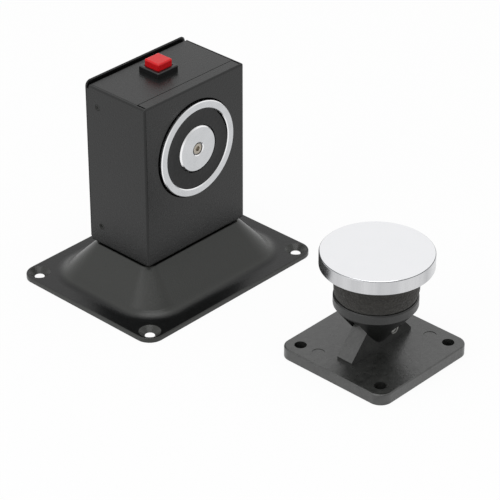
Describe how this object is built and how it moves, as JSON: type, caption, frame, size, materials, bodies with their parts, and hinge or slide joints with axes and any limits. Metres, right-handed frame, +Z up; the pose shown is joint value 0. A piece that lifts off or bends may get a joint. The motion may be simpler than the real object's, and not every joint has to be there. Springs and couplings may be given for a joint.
{
  "type": "electromagnetic door holder",
  "caption": "Floor-standing electromagnet in a folded sheet-metal box on a flared pedestal, with a push button on top, and a swivelling disc keeper for the door.",
  "frame": {"origin": "centre of the floor flange's four fixing holes, on the flange's underside", "axes": "+Z up from the floor, the magnet's face looks along -Y towards the keeper, +X to the right seen from the front"},
  "size_m": [0.119, 0.208, 0.1155],
  "materials": {
    "black_powder_coat": "satin, fine texture",
    "nickel_plate": "polished",
    "zinc_steel": "zinc plated",
    "blackened_screw": "black oxide",
    "potting_resin": "cast resin",
    "bobbin_nylon": "moulded",
    "copper_wire": "enamelled windings",
    "grommet_rubber": "moulded",
    "terminal_nylon": "moulded",
    "lead_insulation": "extruded",
    "switch_black": "moulded",
    "button_red": "moulded",
    "contact_brass": "stamped",
    "spring_steel": "drawn",
    "keeper_nylon": "moulded, fine texture",
    "foam_rubber": "cut foam"
  },
  "bodies": {
    "holder": {"floor_flange": "black_powder_coat", "housing_shell": "black_powder_coat", "top_panel": "black_powder_coat", "bottom_plate": "black_powder_coat", "rear_cover": "black_powder_coat", "side_screws": "blackened_screw", "base_screws": "zinc_steel", "magnet_pot": "nickel_plate", "coil_bobbin": "bobbin_nylon", "coil_winding": "copper_wire", "potting_ring": "potting_resin", "core_screw": "zinc_steel", "core_nut": "zinc_steel", "magnet_bracket": "zinc_steel", "cable_grommet": "grommet_rubber", "terminal_block": "terminal_nylon", "terminal_screws": "zinc_steel", "coil_leads": "lead_insulation", "switch_leads": "lead_insulation", "switch_body": "switch_black", "switch_base": "switch_black", "switch_terminals": "contact_brass", "return_spring": "spring_steel", "armature_base": "keeper_nylon"},
    "button": {"button_cap": "button_red", "contact_bridge": "contact_brass"},
    "keeper_head": {"swivel_hub": "keeper_nylon", "pivot_pin": "zinc_steel", "foam_collar": "foam_rubber", "armature_plate": "nickel_plate", "plate_screw": "zinc_steel"}
  },
  "joints": [
    {"name": "button_press", "type": "slide", "parent": "holder", "child": "button", "axis": [0, 0, -1], "range_m": [0, 0.002], "stiffness_N_per_m": 400, "springref_m": -0.002, "deforming": ["return_spring"]},
    {"name": "keeper_tilt", "type": "hinge", "parent": "holder", "child": "keeper_head", "pos_m": [0.01, -0.129, 0.0198], "axis": [0, 1, 0], "range_deg": [-40, 40]}
  ]
}
